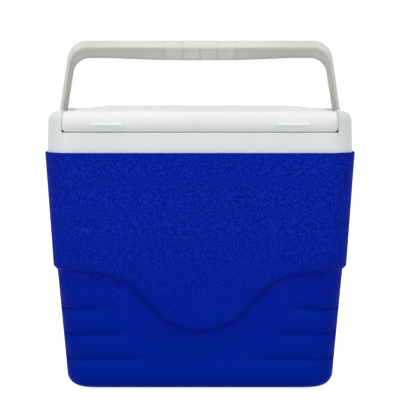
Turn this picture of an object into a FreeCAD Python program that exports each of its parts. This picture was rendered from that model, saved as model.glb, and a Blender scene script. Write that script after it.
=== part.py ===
"""A hard-sided, insulated lunch box: tub, collar, hinged lid and swing handle.

Millimetres, +Z up, front towards -Y. The origin is on the floor, under the middle of the tub.
"""
import FreeCAD
import Part
import Sketcher

import math
import os

doc = FreeCAD.newDocument("LunchBox")
sheet = doc.addObject("Spreadsheet::Sheet", "Dims")
X_AXIS = FreeCAD.Vector(1, 0, 0)
Y_AXIS = FreeCAD.Vector(0, 1, 0)
SIDES = {"left": -1, "right": 1}


class Size:
    """A length that knows its value and the formula that ties it to the sheet."""

    def __init__(self, value, text):
        self.value = value
        self.text = text

    def join(self, other, sign, value):
        other_text = other.text if isinstance(other, Size) else repr(other)
        return Size(value, f"({self.text} {sign} {other_text})")

    def __add__(self, other):
        return self.join(other, "+", self.value + number(other))

    def __sub__(self, other):
        return self.join(other, "-", self.value - number(other))

    def __mul__(self, other):
        return self.join(other, "*", self.value * number(other))

    def __truediv__(self, other):
        return self.join(other, "/", self.value / number(other))

    def __neg__(self):
        return Size(-self.value, f"(0 - {self.text})")


def number(length):
    return length.value if isinstance(length, Size) else length


def root(length):
    return Size(math.sqrt(length.value), f"sqrt({length.text})")


def size(alias, value):
    """Write one driving dimension to the next row of the sheet."""
    row = size.rows = getattr(size, "rows", 0) + 1
    sheet.set(f"A{row}", alias)
    sheet.set(f"B{row}", str(value))
    sheet.setAlias(f"B{row}", alias)
    return Size(value, f"Dims.{alias}")


def bind(item, name, length):
    if isinstance(length, Size):
        item.setExpression(name, length.text)
    else:
        item.setExpression(name, repr(float(length)))


# Tub
rim_width = size("rim_width", 340.0)
rim_depth = size("rim_depth", 240.0)
shell_height = size("shell_height", 262.0)
shell_wall = size("shell_wall", 3.0)
shell_corner = size("shell_corner", 34.0)
side_taper = size("side_taper", 23.2)
end_taper = size("end_taper", 20.0)
base_round = size("base_round", 15.0)
foot_height = size("foot_height", 0.8)
foot_inset = size("foot_inset", 6.5)
foot_recess = size("foot_recess", 1.5)
foot_width = size("foot_width", 28.0)
rim_flange = size("rim_flange", 14.0)

# Proud panel of the tub and its wave edge
panel_rim_step = size("panel_rim_step", 1.0)
panel_proud = size("panel_proud", 3.7)
panel_side_height = size("panel_side_height", 133.0)
panel_bevel = size("panel_bevel", 3.3)
wave_belly_height = size("wave_belly_height", 66.0)
wave_belly_radius = size("wave_belly_radius", 66.0)
wave_shoulder_radius = size("wave_shoulder_radius", 49.0)
wave_end_radius = size("wave_end_radius", 240.0)
WAVE_SLOPE = math.radians(47)
WAVE_END_SLOPE = math.radians(15)

# Grooves at the sides of the lower front and back
groove_depth = size("groove_depth", 1.7)
groove_rise = size("groove_rise", 6.0)
groove_run = size("groove_run", 7.5)
groove_top_height = size("groove_top_height", 90.5)
groove_pitch = size("groove_pitch", 28.2)
groove_top_length = size("groove_top_length", 50.0)
groove_length_step = size("groove_length_step", 20.0)
groove_fade = size("groove_fade", 26.0)
GROOVE_WRAP = math.radians(72)
GROOVES = 3

# Liner and foam
mouth_margin = size("mouth_margin", 28.0)
mouth_corner = size("mouth_corner", 24.0)
liner_wall = size("liner_wall", 2.0)
liner_inset = size("liner_inset", 16.0)
liner_floor = size("liner_floor", 23.0)
flange_gap = size("flange_gap", 0.5)
liner_round = size("liner_round", 12.0)
foam_gap = size("foam_gap", 0.2)

# Collar
collar_step = size("collar_step", 2.8)
collar_height = size("collar_height", 45.0)
collar_draft = size("collar_draft", 1.0)
collar_wall = size("collar_wall", 3.0)
collar_edge = size("collar_edge", 11.0)
seat_height = size("seat_height", 22.0)
seat_edge = size("seat_edge", 1.6)
seat_rear_edge = size("seat_rear_edge", 6.0)
channel_length = size("channel_length", 116.0)

# Lid
cheek_width = size("cheek_width", 17.2)
lid_side_gap = size("lid_side_gap", 0.5)
lid_seat_gap = size("lid_seat_gap", 0.5)
lid_height = size("lid_height", 22.3)
lid_wall = size("lid_wall", 2.6)
nose_inset = size("nose_inset", 5.5)
nose_depth = size("nose_depth", 14.0)
nose_reach = size("nose_reach", 2.5)
nose_edge = size("nose_edge", 1.6)
rear_edge = size("rear_edge", 10.0)
lid_side_round = size("lid_side_round", 4.6)
crown_sink = size("crown_sink", 0.5)
crown_height = size("crown_height", 3.4)
crown_margin = size("crown_margin", 1.5)
crown_slope = size("crown_slope", 34.0)
recess_width = size("recess_width", 90.0)
recess_length = size("recess_length", 60.0)
recess_depth = size("recess_depth", 1.4)
recess_corner = size("recess_corner", 16.0)
lip_length = size("lip_length", 35.0)
lip_inset = size("lip_inset", 48.5)
lip_height = size("lip_height", 7.0)
lip_thickness = size("lip_thickness", 2.4)
lip_reach = size("lip_reach", 1.8)
lip_round = size("lip_round", 0.9)
plug_gap = size("plug_gap", 3.0)
plug_drop = size("plug_drop", 13.0)
pan_wall = size("pan_wall", 2.0)
plug_draft = size("plug_draft", 3.0)
plug_round = size("plug_round", 4.0)
scoop_margin = size("scoop_margin", 1.0)
scoop_depth = size("scoop_depth", 0.5)

# Rear hinge
knuckle_radius = size("knuckle_radius", 5.5)
knuckle_width = size("knuckle_width", 7.0)
knuckle_gap = size("knuckle_gap", 0.5)
knuckle_spacing = size("knuckle_spacing", 20.0)
hinge_margin = size("hinge_margin", 60.0)
hinge_inset = size("hinge_inset", 6.0)
hinge_pin_radius = size("hinge_pin_radius", 2.0)
running_fit = size("running_fit", 0.06)
seated_fit = size("seated_fit", 0.03)

# Handle
handle_rise = size("handle_rise", 78.2)
handle_depth = size("handle_depth", 22.0)
handle_lean = size("handle_lean", 12.3)
bar_thickness = size("bar_thickness", 19.5)
bar_swell = size("bar_swell", 2.6)
bar_straight = size("bar_straight", 46.0)
bar_bevel_height = size("bar_bevel_height", 8.0)
bar_bevel_depth = size("bar_bevel_depth", 5.0)
arm_thickness = size("arm_thickness", 8.4)
arm_bevel = size("arm_bevel", 3.4)
arm_pocket = size("arm_pocket", 7.5)
arm_lid_gap = size("arm_lid_gap", 0.6)
arm_stand_off = size("arm_stand_off", 1.6)
arm_cheek_gap = size("arm_cheek_gap", 1.1)
handle_outer_round = size("handle_outer_round", 23.0)
handle_inner_round = size("handle_inner_round", 19.0)
handle_ridge_round = size("handle_ridge_round", 19.0)
ridge_land = size("ridge_land", 1.0)
bar_under_lean = size("bar_under_lean", 4.5)
pivot_drop = size("pivot_drop", 11.0)
grip_pitch = size("grip_pitch", 20.0)
grip_groove_width = size("grip_groove_width", 1.1)
grip_groove_depth = size("grip_groove_depth", 0.35)
handle_pin_radius = size("handle_pin_radius", 4.0)
pin_head_radius = size("pin_head_radius", 7.0)
pin_head_height = size("pin_head_height", 1.4)
pin_head_gap = size("pin_head_gap", 0.3)
pin_boss_radius = size("pin_boss_radius", 8.0)
pin_boss_length = size("pin_boss_length", 14.0)
GRIP_GROOVES = 5

# Levels and places that follow from the driving dimensions
base_width = rim_width - side_taper * 2
base_depth = rim_depth - end_taper * 2
mouth_width = rim_width - mouth_margin * 2
mouth_depth = rim_depth - mouth_margin * 2
seat_level = shell_height + seat_height
collar_top = shell_height + collar_height
lid_bottom = seat_level + lid_seat_gap
lid_top = lid_bottom + lid_height
crown_top = lid_top + crown_height
collar_width = rim_width - collar_step * 2
collar_depth = rim_depth - collar_step * 2
lid_half = collar_width / 2 - cheek_width - lid_side_gap
lid_width = lid_half * 2
hinge_y = collar_depth / 2 - hinge_inset
hinge_z = lid_bottom + knuckle_radius
nose_front = -(collar_depth / 2 + nose_reach)
pivot_z = lid_top - pivot_drop
arm_inner = lid_half + arm_lid_gap + arm_stand_off
arm_outer = arm_inner + arm_thickness
channel_half = arm_outer + arm_cheek_gap
arm_knee = collar_top
handle_top = lid_top + handle_rise
handle_width = (arm_outer - handle_lean) * 2
bar_bottom = handle_top - bar_thickness
crown_width = lid_width - (crown_margin + arm_pocket) * 2
crown_depth = -(nose_front + nose_depth + crown_margin) * 2


def lower_width(level):
    return base_width + (rim_width - panel_rim_step * 2 - base_width) * level / shell_height


def lower_depth(level):
    return base_depth + (rim_depth - panel_rim_step * 2 - base_depth) * level / shell_height


def panel_fall(level):
    """The share of the way from the rim down to the panel's side edge."""
    return (shell_height - level) / (shell_height - panel_side_height)


def panel_width(level):
    side = lower_width(panel_side_height) + panel_proud * 2
    return rim_width - (rim_width - side) * panel_fall(level)


def panel_depth(level):
    side = lower_depth(panel_side_height) + panel_proud * 2
    return rim_depth - (rim_depth - side) * panel_fall(level)


def body(label):
    return doc.addObject("PartDesign::Body", label)


def plane(owner, role):
    for feature in owner.Origin.OriginFeatures:
        if feature.Role == role:
            return feature
    raise ValueError(role)


def box(owner, cut, name, low, high):
    """A block between two corners, added to the body or cut from it."""
    kind = "PartDesign::SubtractiveBox" if cut else "PartDesign::AdditiveBox"
    item = owner.newObject(kind, name)
    for axis, extent, start, stop in zip("xyz", ("Length", "Width", "Height"), low, high):
        bind(item, extent, stop - start)
        bind(item, f"Placement.Base.{axis}", start)
    return item


def wedge(owner, cut, name, bottom, top):
    """A tapered block between two centred rectangles, each given as width, depth and level."""
    kind = "PartDesign::SubtractiveWedge" if cut else "PartDesign::AdditiveWedge"
    item = owner.newObject(kind, name)
    item.Placement = FreeCAD.Placement(FreeCAD.Vector(), FreeCAD.Rotation(X_AXIS, 90))
    for tag, (width, depth, level), end in (("", bottom, "Ymin"), ("2", top, "Ymax")):
        bind(item, f"X{tag}max", width / 2)
        bind(item, f"X{tag}min", -(width / 2))
        bind(item, f"Z{tag}max", depth / 2)
        bind(item, f"Z{tag}min", -(depth / 2))
        bind(item, end, level)
    return item


def rod(owner, cut, name, start, stop, y, z, radius):
    """A cylinder along X, added to the body or cut from it."""
    kind = "PartDesign::SubtractiveCylinder" if cut else "PartDesign::AdditiveCylinder"
    item = owner.newObject(kind, name)
    item.Placement = FreeCAD.Placement(FreeCAD.Vector(), FreeCAD.Rotation(Y_AXIS, 90))
    bind(item, "Placement.Base.x", start)
    bind(item, "Placement.Base.y", y)
    bind(item, "Placement.Base.z", z)
    bind(item, "Height", stop - start)
    bind(item, "Radius", radius)
    return item


def soften(owner, kind, name, reach, choose):
    """Round or bevel the edges of the body so far that the test picks."""
    doc.recompute()
    tip = owner.Tip
    picked = [f"Edge{i}" for i, edge in enumerate(tip.Shape.Edges, 1) if choose(edge)]
    item = owner.newObject(kind, name)
    item.Base = (tip, picked)
    bind(item, "Radius" if kind == "PartDesign::Fillet" else "Size", reach)
    return item


def round_edges(owner, name, radius, choose):
    return soften(owner, "PartDesign::Fillet", name, radius, choose)


def is_upright(edge):
    """True for an edge that climbs, as the corner of a tub does."""
    start = edge.Vertexes[0].Point
    stop = edge.Vertexes[-1].Point
    return abs(stop.z - start.z) > 0.5 * edge.Length


def lies_at(edge, axis, level, reach=0.01):
    """True for an edge that lies whole at one level of an axis."""
    span = edge.BoundBox
    low = getattr(span, f"{axis}Min")
    high = getattr(span, f"{axis}Max")
    return abs(low - number(level)) < reach and abs(high - number(level)) < reach


def outline(owner, name, role, corners, arcs=None):
    """A closed sketch through corners; arcs gives a signed radius for the stretch after a corner."""
    arcs = arcs or {}
    sketch = owner.newObject("Sketcher::SketchObject", name)
    sketch.AttachmentSupport = [(plane(owner, role), "")]
    sketch.MapMode = "FlatFace"
    points = [FreeCAD.Vector(number(u), number(v), 0) for u, v in corners]
    ends = []
    for i, start in enumerate(points):
        stop = points[(i + 1) % len(points)]
        if i in arcs:
            radius = abs(number(arcs[i]))
            chord = stop - start
            left = FreeCAD.Vector(-chord.y, chord.x, 0).normalize()
            rise = (radius ** 2 - (chord.Length / 2) ** 2) ** 0.5
            turn = 1 if number(arcs[i]) > 0 else -1
            centre = (start + stop) * 0.5 + left * (rise * turn)
            away = ((start + stop) * 0.5 - centre).normalize()
            arc = Part.Arc(start, centre + away * radius, stop)
            index = sketch.addGeometry(arc, False)
            begins = sketch.getPoint(index, 1).distanceToPoint(start) < 0.001
            ends.append((index, 1, 2) if begins else (index, 2, 1))
        else:
            index = sketch.addGeometry(Part.LineSegment(start, stop), False)
            ends.append((index, 1, 2))
    for i, (index, first, last) in enumerate(ends):
        after, after_first, _ = ends[(i + 1) % len(ends)]
        sketch.addConstraint(Sketcher.Constraint("Coincident", index, last, after, after_first))
    for i, (u, v) in enumerate(corners):
        index, first, _ = ends[i]
        for kind, length in (("DistanceX", u), ("DistanceY", v)):
            place = sketch.addConstraint(Sketcher.Constraint(kind, -1, 1, index, first, number(length)))
            bind(sketch, f"Constraints[{place}]", length)
    for i, radius in arcs.items():
        bow = Sketcher.Constraint("Radius", ends[i][0], abs(number(radius)))
        place = sketch.addConstraint(bow)
        bind(sketch, f"Constraints[{place}]", radius if number(radius) > 0 else -radius)
    return sketch


def extrude(owner, cut, name, sketch, length):
    """Extend a sketch the same way to both sides of its plane."""
    item = owner.newObject("PartDesign::Pocket" if cut else "PartDesign::Pad", name)
    item.Profile = sketch
    item.SideType = "Symmetric"
    bind(item, "Length", length)
    return item


def join(kind, label, base, tool):
    item = doc.addObject(kind, label)
    item.Base = base
    item.Tool = tool
    return item


def corner_of(bottom, top):
    """A test for the four slanted corner edges of a tapered block."""

    def on_corner(point):
        span = number(top[2]) - number(bottom[2])
        share = (point.z - number(bottom[2])) / span
        for place, low, high in ((point.x, bottom[0], top[0]), (point.y, bottom[1], top[1])):
            half = (number(low) + (number(high) - number(low)) * share) / 2
            if abs(abs(place) - half) > 0.01:
                return False
        return True

    def choose(edge):
        return is_upright(edge) and all(on_corner(vertex.Point) for vertex in edge.Vertexes)

    return choose


def tapered(owner, cut, name, bottom, top, corner):
    """A tapered block with rounded upright corners."""
    wedge(owner, cut, name, bottom, top)
    round_edges(owner, f"{name}Corners", corner, corner_of(bottom, top))


def shell_cavity(label, gap):
    """The room inside the outer shell, or the foam's outside when a gap is left to the shell."""
    wall = shell_wall + gap
    floor = shell_wall + gap
    ceiling = shell_height - shell_wall - gap
    lower = body(f"{label}Lower")
    bottom = (lower_width(floor) - wall * 2, lower_depth(floor) - wall * 2, floor)
    top = (lower_width(ceiling) - wall * 2, lower_depth(ceiling) - wall * 2, ceiling)
    tapered(lower, False, f"{label}LowerBlock", bottom, top, shell_corner - wall)
    round_edges(lower, f"{label}Base", base_round - wall, lambda edge: lies_at(edge, "Z", floor))
    upper = body(f"{label}Upper")
    start = panel_side_height + panel_proud + wall
    bottom = (panel_width(start) - wall * 2, panel_depth(start) - wall * 2, start)
    top = (panel_width(ceiling) - wall * 2, panel_depth(ceiling) - wall * 2, ceiling)
    tapered(upper, False, f"{label}UpperBlock", bottom, top, shell_corner - wall)
    return join("Part::Fuse", f"{label}Room", lower, upper)


def lower_tub():
    owner = body("LowerTub")
    bottom = (lower_width(foot_height), lower_depth(foot_height), foot_height)
    top = (lower_width(shell_height), lower_depth(shell_height), shell_height)
    tapered(owner, False, "LowerTubBlock", bottom, top, shell_corner)
    round_edges(owner, "LowerTubBase", base_round, lambda edge: lies_at(edge, "Z", foot_height))
    foot_x = base_width / 2 - base_round - foot_inset
    foot_y = base_depth / 2 - base_round - foot_inset
    box(owner, False, "Foot", (-foot_x, -foot_y, 0.0), (foot_x, foot_y, foot_height * 2))
    recess_x = base_width / 2 - base_round - foot_width
    recess_y = base_depth / 2 - base_round - foot_width
    box(owner, True, "FootRecess", (-recess_x, -recess_y, 0.0), (recess_x, recess_y, foot_recess))
    return owner


def wave_corners():
    """The right half of the proud panel's lower edge, from the side to the middle."""
    slope_cos = math.cos(WAVE_SLOPE)
    slope_sin = math.sin(WAVE_SLOPE)
    end_cos = math.cos(WAVE_END_SLOPE)
    end_sin = math.sin(WAVE_END_SLOPE)
    belly_x = wave_belly_radius * slope_sin
    belly_z = wave_belly_height + wave_belly_radius * (1 - slope_cos)
    end_z = panel_side_height - wave_end_radius * (1 - end_cos)
    shoulder_z = end_z - wave_shoulder_radius * (end_cos - slope_cos)
    shoulder_x = belly_x + (shoulder_z - belly_z) * (slope_cos / slope_sin)
    end_x = shoulder_x + wave_shoulder_radius * (slope_sin - end_sin)
    side_x = end_x + wave_end_radius * end_sin
    return [(side_x, panel_side_height), (end_x, end_z), (shoulder_x, shoulder_z), (belly_x, belly_z)]


def proud_panel():
    owner = body("ProudPanel")
    low = wave_belly_height - panel_bevel * 2
    bottom = (panel_width(low), panel_depth(low), low)
    tapered(owner, False, "PanelBlock", bottom, (rim_width, rim_depth, shell_height), shell_corner)
    right = wave_corners()
    left = [(-u, v) for u, v in reversed(right)]
    under = low - panel_bevel
    corners = [(-rim_width, under), (rim_width, under), (rim_width, panel_side_height)]
    corners += right + left + [(-rim_width, panel_side_height)]
    arcs = {3: wave_end_radius, 4: wave_shoulder_radius, 6: -wave_belly_radius}
    arcs.update({8: wave_shoulder_radius, 9: wave_end_radius})
    sketch = outline(owner, "WaveSketch", "XZ_Plane", corners, arcs)
    extrude(owner, True, "WaveCut", sketch, rim_depth * 2)
    side = number(panel_width(panel_side_height)) / 2 - number(panel_proud)
    depth = number(panel_depth(panel_side_height))

    def on_lower_edge(edge):
        span = edge.BoundBox
        crosses = span.YLength > depth / 2 and abs(span.Center.x) < side
        return span.ZMax < number(panel_side_height) + 0.01 and not crosses

    soften(owner, "PartDesign::Chamfer", "PanelEdge", panel_bevel, on_lower_edge)
    return owner


def groove_ring(i, level):
    """A V-shaped ring round the tub at one level."""

    def section(share, run):
        inset = groove_depth * (1 - share) * 2
        place = level + run * share
        return (lower_width(place) - inset, lower_depth(place) - inset, place)

    past = 1.3
    corner = shell_corner - groove_depth / 2
    below = block(f"GrooveBelow{i}", section(past, -groove_run), section(0, groove_run), corner)
    above = block(f"GrooveAbove{i}", section(0, groove_run), section(past, groove_rise), corner)
    slab = body(f"GrooveSlab{i}")
    low = (-rim_width, -rim_depth, level - groove_run * past)
    box(slab, False, f"GrooveSlabBox{i}", low, (rim_width, rim_depth, level + groove_rise * past))
    return join("Part::Cut", f"GrooveRing{i}", slab, join("Part::Fuse", f"GrooveCore{i}", below, above))


def groove_reach(i, level):
    """The four corners that a groove runs round, in plan; it fades out towards the middle."""
    owner = body(f"GrooveReach{i}")
    inner = base_width / 2 - groove_top_length - groove_length_step * i
    front = -(lower_depth(level) / 2)
    around = lower_width(level) / 2 - shell_corner * (1 - math.sin(GROOVE_WRAP))
    back = front + shell_corner * (1 - math.cos(GROOVE_WRAP))
    corners = [(inner, front), (inner, -rim_depth), (rim_width, -rim_depth), (rim_width, back)]
    corners += [(around, back), (inner + groove_fade, front + groove_depth * 1.5)]
    sketch = outline(owner, f"GrooveSketch{i}", "XY_Plane", corners)
    extrude(owner, False, f"GroovePad{i}", sketch, shell_height * 2)
    pieces = [owner]
    for normal in (X_AXIS, Y_AXIS):
        for source in list(pieces):
            twin = doc.addObject("Part::Mirroring", f"{source.Name}Twin")
            twin.Source = source
            twin.Normal = normal
            pieces.append(twin)
    group = doc.addObject("Part::MultiFuse", f"GrooveCorners{i}")
    group.Shapes = pieces
    return group


def groove_cutters():
    """Shallow V grooves round the lower corners, one above the other."""
    cutters = []
    for i in range(GROOVES):
        level = groove_top_height - groove_pitch * i
        cutters.append(join("Part::Common", f"Groove{i}", groove_ring(i, level), groove_reach(i, level)))
    group = doc.addObject("Part::MultiFuse", "Grooves")
    group.Shapes = cutters
    return group


def outer_shell():
    outside = join("Part::Fuse", "ShellOutside", lower_tub(), proud_panel())
    hollow = join("Part::Cut", "ShellHollow", outside, shell_cavity("Shell", 0.0))
    opening = body("ShellOpening")
    ceiling = shell_height - shell_wall * 2
    width = rim_width - rim_flange * 2
    depth = rim_depth - rim_flange * 2
    tapered(opening, False, "OpeningBlock", (width, depth, ceiling), (width, depth, shell_height),
            shell_corner - rim_flange)
    rimmed = join("Part::Cut", "ShellRimmed", hollow, opening)
    return join("Part::Cut", "outer_shell", rimmed, groove_cutters())


def liner_block(owner, name, wall, floor):
    """The liner's outside, or its inside where the wall is none."""
    rise = (shell_height - floor) / (shell_height - liner_floor)
    inset = liner_inset * rise
    bottom = (mouth_width + wall * 2 - inset * 2, mouth_depth + wall * 2 - inset * 2, floor)
    top = (mouth_width + wall * 2, mouth_depth + wall * 2, shell_height)
    tapered(owner, False, name, bottom, top, mouth_corner + wall)
    round_edges(owner, f"{name}Base", liner_round + wall, lambda edge: lies_at(edge, "Z", floor))


def inner_liner():
    outside = body("LinerOutside")
    width = rim_width - (rim_flange + flange_gap) * 2
    depth = rim_depth - (rim_flange + flange_gap) * 2
    bottom = (width, depth, shell_height - liner_wall)
    corner = shell_corner - rim_flange - flange_gap
    tapered(outside, False, "LinerFlange", bottom, (width, depth, shell_height), corner)
    liner_block(outside, "LinerTub", liner_wall, liner_floor)
    inside = body("LinerInside")
    liner_block(inside, "LinerRoom", liner_wall * 0, liner_floor + liner_wall)
    return join("Part::Cut", "inner_liner", outside, inside)


def body_foam():
    core = body("FoamCore")
    liner_block(core, "FoamCoreBlock", liner_wall + foam_gap, liner_floor - foam_gap)
    return join("Part::Cut", "body_foam", shell_cavity("Foam", foam_gap), core)


def hinge_centres():
    """The middle of each hinge along X, with the side it is on."""
    return [(side, (lid_half - hinge_margin) * sign) for side, sign in SIDES.items()]


def knuckle_centres(centre):
    return [centre + knuckle_spacing * (0.5 * sign) for sign in (-1, 1)]


def block(label, bottom, top, corner):
    """A tapered block with rounded corners, as a body of its own."""
    owner = body(label)
    tapered(owner, False, f"{label}Block", bottom, top, corner)
    return owner


def collar_room():
    """The voids of the collar: the hollow under its seat, round the mouth's wall, and the mouth."""
    low = shell_height - collar_wall
    ceiling = seat_level - collar_wall
    inset = (collar_wall + collar_draft) * 2
    corner = shell_corner - collar_step - collar_wall - collar_draft
    width = collar_width - inset
    depth = collar_depth - inset
    hollow = block("CollarHollow", (width, depth, low), (width, depth, ceiling), corner)
    width = mouth_width + collar_wall * 2
    depth = mouth_depth + collar_wall * 2
    wall = block("MouthWall", (width, depth, low), (width, depth, ceiling), mouth_corner + collar_wall)
    ring = join("Part::Cut", "CollarRing", hollow, wall)
    bottom = (mouth_width, mouth_depth, low)
    mouth = block("Mouth", bottom, (mouth_width, mouth_depth, collar_top), mouth_corner)
    return join("Part::Fuse", "CollarRoom", ring, mouth)


def rim_collar():
    owner = body("CollarOutside")
    bottom = (collar_width, collar_depth, shell_height)
    top = (collar_width - collar_draft * 2, collar_depth - collar_draft * 2, collar_top)
    tapered(owner, False, "CollarBlock", bottom, top, shell_corner - collar_step)
    round_edges(owner, "CollarTop", collar_edge, lambda edge: lies_at(edge, "Z", collar_top))
    seat_half = lid_half + lid_side_gap
    box(owner, True, "LidSeat", (-seat_half, -rim_depth, seat_level), (seat_half, rim_depth, collar_top))
    middle = number(collar_depth) / 2 - number(collar_draft) - 1

    def on_seat_end(edge, sign):
        span = edge.BoundBox
        return lies_at(edge, "Z", seat_level) and span.YMin * sign > middle and span.XLength > 1

    round_edges(owner, "SeatRear", seat_rear_edge, lambda edge: on_seat_end(edge, 1))
    round_edges(owner, "SeatFront", seat_edge, lambda edge: on_seat_end(edge, -1))
    reach = channel_length / 2
    box(owner, True, "ArmChannel", (-channel_half, -reach, seat_level), (channel_half, reach, collar_top))
    for side, centre in hinge_centres():
        for i, place in enumerate(knuckle_centres(centre)):
            low = (place - knuckle_width / 2, hinge_y - knuckle_radius, seat_level - collar_wall)
            high = (place + knuckle_width / 2, hinge_y + knuckle_radius, hinge_z)
            box(owner, False, f"Bracket_{side}{i}", low, (high[0], hinge_y, hinge_z))
            rod(owner, False, f"Barrel_{side}{i}", low[0], high[0], hinge_y, hinge_z, knuckle_radius)
        reach = knuckle_spacing / 2 + knuckle_width
        rod(owner, True, f"PinBore_{side}", centre - reach, centre + reach, hinge_y, hinge_z,
            hinge_pin_radius + seated_fit)
    return join("Part::Cut", "rim_collar", owner, collar_room())


def lid_rooms(gap):
    """The corners of the lid's cavity and of the cavity under its crown, drawn in by a gap."""
    half = lid_half - arm_pocket - lid_wall - gap
    front = nose_front + nose_depth + gap
    rear = hinge_y - knuckle_radius - knuckle_gap - lid_wall - gap
    ceiling = lid_top - lid_wall - gap
    crown_half = crown_width / 2 - crown_slope - gap
    crown_reach = crown_depth / 2 - crown_slope - gap
    crown_ceiling = crown_top - recess_depth - lid_wall - gap
    room = ((-half, front, lid_bottom), (half, rear, ceiling))
    crown = ((-crown_half, -crown_reach, lid_bottom), (crown_half, crown_reach, crown_ceiling))
    return room, crown


def nose_bow():
    """The radius of the nose's bowed front."""
    return (lid_height * lid_height / 4 + nose_inset * nose_inset) / (nose_inset * 2)


def lid_block(owner):
    """The lid's outside: a bar with a bowed nose, and a low crown with a shallow tray in it."""
    nose_end = nose_front + nose_inset
    rear = hinge_y + knuckle_radius
    corners = [(nose_end, lid_bottom), (hinge_y, lid_bottom), (rear, hinge_z)]
    corners += [(rear, lid_top), (nose_end, lid_top)]
    sketch = outline(owner, "LidSketch", "YZ_Plane", corners, {1: knuckle_radius, 4: nose_bow()})
    extrude(owner, False, "LidBlock", sketch, lid_width)

    def on_side(edge):
        return edge.BoundBox.XLength < 0.01 and abs(edge.BoundBox.XMin) > number(lid_half) - 0.01

    round_edges(owner, "LidRear", rear_edge, lambda edge: lies_at(edge, "Y", rear)
                and lies_at(edge, "Z", lid_top))
    round_edges(owner, "LidNose", nose_edge, lambda edge: lies_at(edge, "Y", nose_end))
    round_edges(owner, "LidSides", lid_side_round, on_side)
    wedge(owner, False, "Crown", (crown_width, crown_depth, lid_top - crown_sink),
          (crown_width - crown_slope * 2, crown_depth - crown_slope * 2, crown_top))
    tray = crown_top - recess_depth
    floor = (recess_width, recess_length, tray)
    tapered(owner, True, "Tray", floor, (recess_width, recess_length, crown_top), recess_corner)


def finger_lip(owner, side, middle):
    """A lip to lift the lid by, with a shallow scoop in the nose above it."""
    low = lid_bottom + lip_height
    high = low + lip_thickness
    tip = nose_front - lip_reach
    box(owner, False, f"Lip_{side}", (middle - lip_length / 2, tip, low),
        (middle + lip_length / 2, nose_front + nose_inset, high))
    belly = lid_bottom + lid_height / 2
    corners = [(nose_front + scoop_depth, belly), (tip - lip_reach, belly), (tip - lip_reach, lid_top)]
    corners.append((nose_front + nose_inset + scoop_depth, lid_top))
    sketch = outline(owner, f"ScoopSketch_{side}", "YZ_Plane", corners, {3: nose_bow()})
    bind(sketch, "AttachmentOffset.Base.z", middle)
    extrude(owner, True, f"Scoop_{side}", sketch, lip_length - scoop_margin * 2)
    round_edges(owner, f"LipEdge_{side}", lip_round, lambda edge: lies_at(edge, "Y", tip)
                and edge.BoundBox.XLength > 1 and edge.BoundBox.Center.x * number(middle) > 0)


def lid_shell():
    owner = body("lid_shell")
    lid_block(owner)
    room, crown = lid_rooms(foam_gap * 0)
    box(owner, True, "LidRoom", room[0], room[1])
    box(owner, True, "CrownRoom", crown[0], crown[1])
    reach = channel_length / 2
    pocket_face = lid_half - arm_pocket
    for side, sign in SIDES.items():
        low = pocket_face if sign > 0 else -lid_half
        box(owner, True, f"ArmPocket_{side}", (low, -reach, lid_bottom), (low + arm_pocket, reach, crown_top))
        start = pocket_face - pin_boss_length if sign > 0 else -pocket_face
        rod(owner, False, f"PinBoss_{side}", start, start + pin_boss_length, 0.0, pivot_z, pin_boss_radius)
        rod(owner, True, f"PinBore_{side}", start, start + pin_boss_length, 0.0, pivot_z,
            handle_pin_radius + seated_fit)
        finger_lip(owner, side, (lid_half - lip_inset) * sign)
    slot = knuckle_width / 2 + knuckle_gap
    clear = knuckle_radius + knuckle_gap
    for side, centre in hinge_centres():
        for i, place in enumerate(knuckle_centres(centre)):
            box(owner, True, f"KnuckleSlot_{side}{i}", (place - slot, hinge_y - clear, lid_bottom),
                (place + slot, hinge_y + clear, hinge_z + clear))
        bore = knuckle_spacing / 2 + knuckle_width
        rod(owner, True, f"HingeBore_{side}", centre - bore, centre + bore, hinge_y, hinge_z,
            hinge_pin_radius + running_fit)
    return owner


def plug_block(label, wall, top):
    """The plug under the lid, or the room inside it when a wall is taken off."""
    width = mouth_width - (plug_gap + wall) * 2
    depth = mouth_depth - (plug_gap + wall) * 2
    low = lid_bottom - plug_drop + wall
    owner = block(label, (width - plug_draft * 2, depth - plug_draft * 2, low), (width, depth, top),
                  mouth_corner - plug_gap - wall)
    round_edges(owner, f"{label}Edge", plug_round - wall, lambda edge: lies_at(edge, "Z", low))
    return owner


def lid_pan():
    plate = body("PanPlate")
    room, _ = lid_rooms(foam_gap)
    box(plate, False, "PanPlateBlock", room[0], (room[1][0], room[1][1], lid_bottom + pan_wall))
    plug = plug_block("PanPlug", pan_wall * 0, lid_bottom + pan_wall)
    outside = join("Part::Fuse", "PanOutside", plate, plug)
    return join("Part::Cut", "lid_pan", outside, plug_block("PanRoom", pan_wall, lid_bottom + pan_wall * 2))


def boss_relief(side, sign):
    """Room in the lid's foam for the boss of a handle pin."""
    owner = body(f"BossRelief_{side}")
    half = lid_half - arm_pocket
    length = pin_boss_length + foam_gap
    start = half - length if sign > 0 else -half
    radius = pin_boss_radius + foam_gap
    rod(owner, False, f"BossReliefRod_{side}", start, start + length, 0.0, pivot_z, radius)
    return owner


def lid_foam():
    owner = body("FoamBlock")
    room, crown = lid_rooms(foam_gap)
    low = lid_bottom + pan_wall + foam_gap
    box(owner, False, "FoamLid", (room[0][0], room[0][1], low), room[1])
    box(owner, False, "FoamCrown", (crown[0][0], crown[0][1], low), crown[1])
    plug = plug_block("FoamPlug", pan_wall + foam_gap, low + pan_wall)
    filled = join("Part::Fuse", "LidFilling", owner, plug)
    reliefs = doc.addObject("Part::MultiFuse", "BossReliefs")
    reliefs.Shapes = [boss_relief(side, sign) for side, sign in SIDES.items()]
    return join("Part::Cut", "lid_foam", filled, reliefs)


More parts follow.
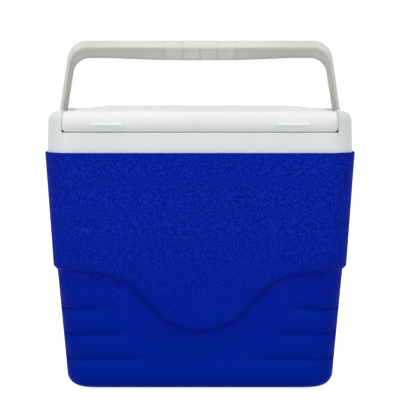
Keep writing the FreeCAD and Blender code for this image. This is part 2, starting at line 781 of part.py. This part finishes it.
def loft(owner, cut, name, first, second):
    """Straight-sided material between two sketches, added to the body or cut from it."""
    item = owner.newObject("PartDesign::SubtractiveLoft" if cut else "PartDesign::AdditiveLoft", name)
    item.Profile = first
    item.Sections = [second]
    item.Ruled = True
    return item


def bail_loop(owner, name, depth, side, top, radius, middle=(), bow=None):
    """A front view of the bail at one depth: upright arms, leaning arms, round corners and the bar.

    The side is half the width over the upright arms, and the middle holds two points along the bar,
    if the loop has them, with the stretch between them bowed.
    """
    lean = (arm_outer - handle_width / 2) / (handle_top - arm_knee)
    slant = root(lean * lean + 1)
    reach = radius * (slant - lean)
    drop = reach / slant
    corner = side - lean * (top - arm_knee)
    right = [(corner - reach, top), (corner + lean * drop, top - drop), (side, arm_knee), (side, pivot_z)]
    left = [(-u, v) for u, v in reversed(right)]
    arcs = {2: -radius, 4 + len(middle): -radius}
    if bow:
        arcs[4] = bow
    sketch = outline(owner, name, "XZ_Plane", left + list(middle) + right, arcs)
    bind(sketch, "AttachmentOffset.Base.z", depth)
    return sketch


def handle_outside(owner):
    """The bail with its opening filled, bevelled from its rim up to a ridge, in front and behind."""
    half = handle_depth / 2
    rim = half - bar_bevel_depth
    core = bail_loop(owner, "RimLoop", 0.0, arm_outer, handle_top, handle_outer_round)
    extrude(owner, False, "HandleCore", core, rim * 2)
    for name, sign in (("Front", 1), ("Back", -1)):
        first = bail_loop(owner, f"Rim{name}", rim * sign, arm_outer, handle_top, handle_outer_round)
        second = bail_loop(owner, f"Ridge{name}", half * sign, arm_outer - arm_bevel,
                           handle_top - bar_bevel_height, handle_ridge_round)
        loft(owner, False, f"Bevel{name}", first, second)


def handle_inside(owner):
    """The opening for the hand, and the faces that fall back to its edge from a narrow land."""
    half = handle_depth / 2
    swell = handle_width / 2 - bar_straight
    bow = (swell * swell / bar_swell + bar_swell) / 2
    under = [(-swell, bar_bottom), (swell, bar_bottom)]
    opening = bail_loop(owner, "OpeningLoop", 0.0, arm_inner, bar_bottom, handle_inner_round, under, bow)
    extrude(owner, True, "Opening", opening, handle_depth * 2)
    land_side = arm_outer - arm_bevel - ridge_land
    land_top = handle_top - bar_bevel_height - ridge_land
    land = [(-swell, land_top), (swell, land_top)]
    for name, sign in (("Front", 1), ("Back", -1)):
        depth = (half - bar_under_lean) * sign
        first = bail_loop(owner, f"Edge{name}", depth, arm_inner, bar_bottom, handle_inner_round, under, bow)
        second = bail_loop(owner, f"Land{name}", half * sign, land_side, land_top, handle_ridge_round, land)
        loft(owner, True, f"Fall{name}", first, second)


def grip_grooves(owner):
    """A row of fine grooves across the front, the back and the underside of the bar."""
    half = handle_depth / 2
    side = grip_groove_width / 2
    edge = bar_bottom - bar_swell
    low = edge - bar_swell
    floor = edge + grip_groove_depth
    ridge = handle_top - bar_bevel_height
    land = ridge - ridge_land
    fall = bar_under_lean * (land - low) / (land - edge)
    bed = half - grip_groove_depth
    corners = [(bed - bar_bevel_depth, handle_top), (half * 2, handle_top), (half * 2, low)]
    corners += [(bed - fall, low), (bed, land), (bed, ridge)]
    for i in range(GRIP_GROOVES):
        place = grip_pitch * (i - (GRIP_GROOVES - 1) / 2)
        for name, sign in (("Front", -1), ("Back", 1)):
            sketch = outline(owner, f"Groove{name}Sketch{i}", "YZ_Plane", [(u * sign, v) for u, v in corners])
            bind(sketch, "AttachmentOffset.Base.z", place)
            extrude(owner, True, f"Groove{name}{i}", sketch, grip_groove_width)
        box(owner, True, f"GrooveUnder{i}", (place - side, -half, low), (place + side, half, floor))


def handle():
    owner = body("handle")
    handle_outside(owner)
    handle_inside(owner)
    grip_grooves(owner)
    for side, sign in SIDES.items():
        inner = lid_half - arm_pocket + arm_lid_gap
        start = inner if sign > 0 else -arm_outer
        length = arm_outer - inner
        rod(owner, False, f"Hub_{side}", start, start + length, 0.0, pivot_z, handle_depth / 2)
        bore = handle_pin_radius + running_fit
        rod(owner, True, f"HubBore_{side}", start, start + length, 0.0, pivot_z, bore)
        depth = pin_head_height + pin_head_gap
        rod(owner, True, f"HeadBore_{side}", arm_outer - depth if sign > 0 else start,
            arm_outer if sign > 0 else start + depth, 0.0, pivot_z, pin_head_radius + pin_head_gap)
    return owner


def hinge_pin(side, centre):
    owner = body(f"hinge_pin_{side}")
    reach = knuckle_spacing / 2 + knuckle_width / 2
    rod(owner, False, f"HingePin_{side}", centre - reach, centre + reach, hinge_y, hinge_z, hinge_pin_radius)
    return owner


def handle_pin(side, sign):
    """A headed pin, pressed into the lid's boss, that the arm of the handle turns on."""
    owner = body(f"handle_pin_{side}")
    shank_end = lid_half - arm_pocket - pin_boss_length
    start = shank_end if sign > 0 else -arm_outer
    length = arm_outer - shank_end
    rod(owner, False, f"PinShank_{side}", start, start + length, 0.0, pivot_z, handle_pin_radius)
    start = arm_outer - pin_head_height if sign > 0 else -arm_outer
    rod(owner, False, f"PinHead_{side}", start, start + pin_head_height, 0.0, pivot_z, pin_head_radius)
    return owner


nodes = [outer_shell(), inner_liner(), body_foam(), rim_collar()]
nodes += [lid_shell(), lid_pan(), lid_foam(), handle()]
nodes += [hinge_pin(side, centre) for side, centre in hinge_centres()]
nodes += [handle_pin(side, sign) for side, sign in SIDES.items()]
doc.recompute()

for item in doc.Objects:
    if "Invalid" in item.State or "Error" in item.State:
        raise RuntimeError(f"{item.Label} failed: {item.State}")
for node in nodes:
    if node.Shape.isNull() or not node.Shape.isValid() or len(node.Shape.Solids) != 1:
        raise RuntimeError(f"{node.Label} is not one valid solid")

os.makedirs("parts", exist_ok=True)
for node in nodes:
    node.Shape.exportStep(f"parts/{node.Label}.step")
    print(node.Label, round(node.Shape.Volume / 1000, 1), "cm3")
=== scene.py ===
"""The lunch box in studio light, seen from the front."""
import math

import bpy
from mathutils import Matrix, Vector

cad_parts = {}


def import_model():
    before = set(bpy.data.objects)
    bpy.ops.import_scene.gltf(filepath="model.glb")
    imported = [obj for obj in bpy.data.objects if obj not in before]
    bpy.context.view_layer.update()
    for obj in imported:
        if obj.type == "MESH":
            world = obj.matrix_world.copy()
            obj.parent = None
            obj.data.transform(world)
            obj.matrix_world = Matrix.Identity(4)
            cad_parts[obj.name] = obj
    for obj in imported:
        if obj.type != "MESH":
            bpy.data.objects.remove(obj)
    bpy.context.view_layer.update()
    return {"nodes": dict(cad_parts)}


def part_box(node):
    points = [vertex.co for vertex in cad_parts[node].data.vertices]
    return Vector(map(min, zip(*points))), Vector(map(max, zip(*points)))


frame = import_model()
scene = bpy.context.scene
scene.view_settings.view_transform = "Standard"

# The stage, in metres and watts.
CAMERA_PLACE = (0.0, -2.0, 0.345)
CAMERA_PITCH = 4.07  # degrees below level
SENSOR_WIDTH = 36.0  # millimetres
LENS_RATIO = 1743.0 / 400  # the focal length over the picture's width
LAMP_AIM = (0.0, 0.0, 0.2)
LAMPS = (  # name, place, width and height, power
    ("top", (0.0, -0.9, 2.0), (1.6, 1.0), 11.5),
    ("left", (-1.7, -1.9, 1.0), (1.2, 1.2), 15.5),
    ("right", (1.7, -1.9, 1.0), (1.2, 1.2), 10.0),
)
FLOOR_WIDTH = 60.0
FLOOR_HEIGHT = -0.0002  # just below the base, so that the two faces do not share a plane
FLOOR_GREY = (0.72, 0.72, 0.72, 1.0)
FLOOR_GLOW = 0.8
WORLD_LIGHT = 0.5
WORLD_SEEN = 1.0
WHITE = (1.0, 1.0, 1.0, 1.0)

# The mix node's colour sockets share their names with its other sockets, so they go by number.
MIX_FIRST = 6
MIX_SECOND = 7
MIX_RESULT = 2


def linear(red, green, blue):
    """A colour given in 0 to 255 screen values, as the linear values that shaders take."""
    values = []
    for part in (red, green, blue):
        part = part / 255
        values.append(part / 12.92 if part <= 0.04045 else ((part + 0.055) / 1.055) ** 2.4)
    return (*values, 1.0)


class Shader:
    """A material made of nodes, with short calls to add and join them."""

    def __init__(self, name):
        self.material = bpy.data.materials.new(name)
        self.material.use_nodes = True
        self.nodes = self.material.node_tree.nodes
        self.links = self.material.node_tree.links
        self.shader = self.nodes["Principled BSDF"]

    def add(self, kind, **settings):
        node = self.nodes.new(kind)
        for key, value in settings.items():
            setattr(node, key, value)
        return node

    def join(self, source, target):
        self.links.new(source, target)

    def set(self, name, value):
        self.shader.inputs[name].default_value = value

    def place(self):
        return self.add("ShaderNodeTexCoord").outputs["Object"]

    def height(self):
        split = self.add("ShaderNodeSeparateXYZ")
        self.join(self.place(), split.inputs["Vector"])
        return split.outputs["Z"]

    def noise(self, scale, detail=2.0, roughness=0.5):
        node = self.add("ShaderNodeTexNoise")
        node.inputs["Scale"].default_value = scale
        node.inputs["Detail"].default_value = detail
        node.inputs["Roughness"].default_value = roughness
        self.join(self.place(), node.inputs["Vector"])
        return node.outputs["Fac"]

    def cells(self, scale, smoothness=0.6):
        node = self.add("ShaderNodeTexVoronoi", feature="SMOOTH_F1")
        node.inputs["Scale"].default_value = scale
        node.inputs["Smoothness"].default_value = smoothness
        self.join(self.place(), node.inputs["Vector"])
        return node.outputs["Distance"]

    def spread(self, source, low, high, start=0.3, stop=0.7):
        """The source's values from start to stop, spread over low to high."""
        node = self.add("ShaderNodeMapRange")
        limits = {"From Min": start, "From Max": stop, "To Min": low, "To Max": high}
        for name, value in limits.items():
            node.inputs[name].default_value = value
        self.join(source, node.inputs["Value"])
        return node.outputs["Result"]

    def share(self, source, start=0.3, stop=0.7):
        """0 up to start and 1 from stop on."""
        return self.spread(source, 0.0, 1.0, start, stop)

    def times(self, first, second):
        node = self.add("ShaderNodeMath", operation="MULTIPLY")
        self.join(first, node.inputs[0])
        self.join(second, node.inputs[1])
        return node.outputs["Value"]

    def mix(self, share, first, second):
        """The first colour where the share is 0, and the second where it is 1."""
        node = self.add("ShaderNodeMix", data_type="RGBA")
        self.join(share, node.inputs["Factor"])
        for index, colour in ((MIX_FIRST, first), (MIX_SECOND, second)):
            if isinstance(colour, tuple):
                node.inputs[index].default_value = colour
            else:
                self.join(colour, node.inputs[index])
        return node.outputs[MIX_RESULT]

    def edges(self, start, stop):
        """Near 1 on convex edges and 0 elsewhere, for worn edges and for painted edge highlights."""
        return self.share(self.add("ShaderNodeNewGeometry").outputs["Pointiness"], start, stop)

    def rounded(self, radius):
        """The surface's normal, with its edges softened."""
        node = self.add("ShaderNodeBevel", samples=6)
        node.inputs["Radius"].default_value = radius
        return node.outputs["Normal"]

    def outward(self, normal, centre):
        """How far the surface faces away from a point of its object: 1 straight away, -1 towards it."""
        local = self.add("ShaderNodeVectorTransform", vector_type="NORMAL",
                         convert_from="WORLD", convert_to="OBJECT")
        self.join(normal, local.inputs["Vector"])
        away = self.add("ShaderNodeVectorMath", operation="SUBTRACT")
        self.join(self.place(), away.inputs[0])
        away.inputs[1].default_value = centre
        unit = self.add("ShaderNodeVectorMath", operation="NORMALIZE")
        self.join(away.outputs["Vector"], unit.inputs[0])
        dot = self.add("ShaderNodeVectorMath", operation="DOT_PRODUCT")
        self.join(local.outputs["Vector"], dot.inputs[0])
        self.join(unit.outputs["Vector"], dot.inputs[1])
        return dot.outputs["Value"]

    def bump(self, heights, normal=None):
        """Chain bumps, each a height with its strength and its distance in metres."""
        for height, strength, distance in heights:
            node = self.add("ShaderNodeBump")
            node.inputs["Distance"].default_value = distance
            if isinstance(strength, float):
                node.inputs["Strength"].default_value = strength
            else:
                self.join(strength, node.inputs["Strength"])
            self.join(height, node.inputs["Height"])
            if normal is not None:
                self.join(normal, node.inputs["Normal"])
            normal = node.outputs["Normal"]
        self.join(normal, self.shader.inputs["Normal"])

    def satin(self, normal=None):
        """The faint flow marks and fine skin of smooth white mouldings."""
        flow = (self.noise(260.0, 3.0), 0.06, 0.0006)
        skin = (self.noise(1100.0), 0.05, 0.0002)
        self.bump([flow, skin], normal)

    def finish(self, colour, roughness):
        self.join(colour, self.shader.inputs["Base Color"])
        self.join(roughness, self.shader.inputs["Roughness"])
        return self.material


def blue_plastic():
    """Deep blue moulded plastic, pebbled most strongly on the upper panel, with painted glints there,
    painted light near the bottom and a painted highlight on the convex edges.
    """
    made = Shader("blue_plastic")
    drift = made.share(made.noise(9.0, 3.0))
    # Painted light: the blue is made lighter near the bottom than higher up.
    low = made.mix(drift, linear(0, 33, 155), linear(0, 35, 159))
    high = made.mix(drift, linear(0, 22, 147), linear(0, 25, 153))
    colour = made.mix(made.share(made.height(), 0.03, 0.15), low, high)
    grain_and_glint_share = made.spread(made.height(), 0.12, 1.0, 0.06, 0.18)
    # Painted highlight: small light specks, strongest on the upper panel, stand in for glints on the
    # pebbles.
    painted_glints = made.times(made.share(made.noise(600.0, 2.0, 0.6), 0.44, 0.66), grain_and_glint_share)
    colour = made.mix(painted_glints, colour, linear(21, 50, 184))
    # Painted highlight: the convex edges take a lighter blue.
    colour = made.mix(made.edges(0.62, 0.75), colour, linear(26, 60, 190))
    pebbles = (made.cells(380.0), made.spread(grain_and_glint_share, 0.0, 0.6, 0.0, 1.0), 0.0007)
    skin = (made.noise(900.0), 0.2, 0.0003)
    made.bump([pebbles, skin], made.rounded(0.007))
    made.set("Specular IOR Level", 0.02)
    return made.finish(colour, made.spread(made.noise(60.0), 0.52, 0.66))


def white_plastic(name, light, shade, worn):
    """White moulded plastic: a satin skin with faint flow marks and a painted highlight on the convex
    edges.
    """
    made = Shader(name)
    drift = made.share(made.noise(14.0, 3.0))
    colour = made.mix(drift, light, shade)
    # Painted highlight: the convex edges take the lighter colour given as worn.
    colour = made.mix(made.edges(0.56, 0.66), colour, worn)
    made.satin()
    return made.finish(colour, made.spread(made.noise(40.0), 0.34, 0.48))


def handle_plastic():
    """White plastic, with painted light on the outer band and painted shade on the faces that turn
    inwards.
    """
    made = Shader("handle_white")
    low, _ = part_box("handle")
    drift = made.share(made.noise(14.0, 3.0))
    normal = made.rounded(0.0045)
    outer = made.share(made.outward(normal, (0.0, 0.0, low[2])), 0.1, 0.55)
    # Painted light and shade: the faces that turn outwards get a lit colour, and those that turn
    # inwards a darker shaded copy of it.
    painted_lit_band = made.mix(drift, linear(218, 219, 212), linear(213, 214, 207))
    painted_shade_band = made.mix(drift, linear(189, 190, 182), linear(183, 184, 176))
    colour = made.mix(outer, painted_shade_band, painted_lit_band)
    # Painted highlight: the convex edges are lightened, most of all on the shaded inward faces.
    colour = made.mix(made.edges(0.56, 0.68), colour, linear(214, 215, 208))
    made.satin(normal)
    return made.finish(colour, made.spread(made.noise(40.0), 0.36, 0.5))


def foam_filling():
    """Pale rigid foam, with small cells and darker worn edges."""
    made = Shader("rigid_foam")
    drift = made.share(made.noise(30.0))
    colour = made.mix(drift, linear(226, 208, 160), linear(240, 226, 186))
    colour = made.mix(made.edges(0.55, 0.65), colour, linear(214, 190, 138))
    made.bump([(made.cells(600.0), 0.5, 0.0006)])
    return made.finish(colour, made.spread(made.noise(80.0), 0.8, 0.95))


def pin_metal():
    """Plain drawn steel, brighter on its worn edges."""
    made = Shader("pin_steel")
    made.set("Metallic", 1.0)
    drift = made.share(made.noise(300.0))
    colour = made.mix(drift, linear(170, 172, 175), linear(196, 198, 200))
    colour = made.mix(made.edges(0.55, 0.65), colour, linear(214, 215, 217))
    made.bump([(made.noise(1500.0), 0.1, 0.0001)])
    return made.finish(colour, made.spread(made.noise(400.0), 0.25, 0.4))


def dress():
    """Give each piece the material that it is made of."""
    # The last colour given for each white is its painted edge highlight.
    lid_white = white_plastic(
        "lid_white", linear(236, 239, 236), linear(229, 232, 230), linear(246, 247, 243))
    collar_white = white_plastic(
        "collar_white", linear(227, 230, 230), linear(222, 226, 227), linear(236, 238, 236))
    pin_white = white_plastic(
        "pin_white", linear(228, 229, 221), linear(221, 222, 214), linear(238, 238, 231))
    liner_white = white_plastic(
        "liner_white", linear(238, 240, 238), linear(231, 234, 233), linear(246, 247, 245))
    foam = foam_filling()
    steel = pin_metal()
    finishes = {
        "outer_shell": blue_plastic(),
        "rim_collar": collar_white,
        "lid_shell": lid_white,
        "lid_pan": liner_white,
        "inner_liner": liner_white,
        "handle": handle_plastic(),
        "handle_pin_left": pin_white,
        "handle_pin_right": pin_white,
        "body_foam": foam,
        "lid_foam": foam,
        "hinge_pin_left": steel,
        "hinge_pin_right": steel,
    }
    for name, finish in finishes.items():
        node = frame["nodes"][name]
        node.data.materials.clear()
        node.data.materials.append(finish)


def lamp(name, place, size, power):
    """A soft rectangular lamp, turned to the box."""
    data = bpy.data.lights.new(name, "AREA")
    data.shape = "RECTANGLE"
    data.size, data.size_y = size
    data.energy = power
    made = bpy.data.objects.new(name, data)
    scene.collection.objects.link(made)
    made.location = place
    made.rotation_euler = (Vector(LAMP_AIM) - Vector(place)).to_track_quat("-Z", "Y").to_euler()


def seen_by_camera(tree):
    """1 for rays from the camera, in reflections and through clear things, and 0 for other light."""
    rays = tree.nodes.new("ShaderNodeLightPath")
    share = rays.outputs["Is Camera Ray"]
    for name in ("Is Glossy Ray", "Is Transmission Ray"):
        either = tree.nodes.new("ShaderNodeMath")
        either.operation = "MAXIMUM"
        tree.links.new(share, either.inputs[0])
        tree.links.new(rays.outputs[name], either.inputs[1])
        share = either.outputs[0]
    return share


def backdrop():
    """A plain pale floor, white to the camera, that still takes the box's shadow."""
    bpy.ops.mesh.primitive_plane_add(size=FLOOR_WIDTH, location=(0, 0, FLOOR_HEIGHT))
    floor = bpy.context.object
    floor.name = "floor"
    made = Shader("floor_white")
    made.set("Base Color", FLOOR_GREY)
    made.set("Roughness", 1.0)
    made.set("Specular IOR Level", 0.0)
    made.set("Emission Color", WHITE)
    glow = made.spread(seen_by_camera(made.material.node_tree), 0.0, FLOOR_GLOW, 0.0, 1.0)
    made.join(glow, made.shader.inputs["Emission Strength"])
    floor.data.materials.append(made.material)


def world():
    """Soft light all round, pure white to the camera and in reflections."""
    scene.world = bpy.data.worlds.new("studio")
    scene.world.use_nodes = True
    tree = scene.world.node_tree
    back = tree.nodes["Background"]
    back.inputs["Color"].default_value = WHITE
    level = tree.nodes.new("ShaderNodeMapRange")
    level.inputs["To Min"].default_value = WORLD_LIGHT
    level.inputs["To Max"].default_value = WORLD_SEEN
    tree.links.new(seen_by_camera(tree), level.inputs["Value"])
    tree.links.new(level.outputs["Result"], back.inputs["Strength"])


def camera():
    """A long lens in front of the box, just above the lid and tipped a little down."""
    made = bpy.data.objects.new("camera", bpy.data.cameras.new("camera"))
    scene.collection.objects.link(made)
    made.data.sensor_width = SENSOR_WIDTH
    made.data.lens = LENS_RATIO * SENSOR_WIDTH
    made.location = CAMERA_PLACE
    made.rotation_euler = (math.radians(90 - CAMERA_PITCH), 0.0, 0.0)
    scene.camera = made


dress()
backdrop()
world()
for name, place, size, power in LAMPS:
    lamp(name, place, size, power)
camera()
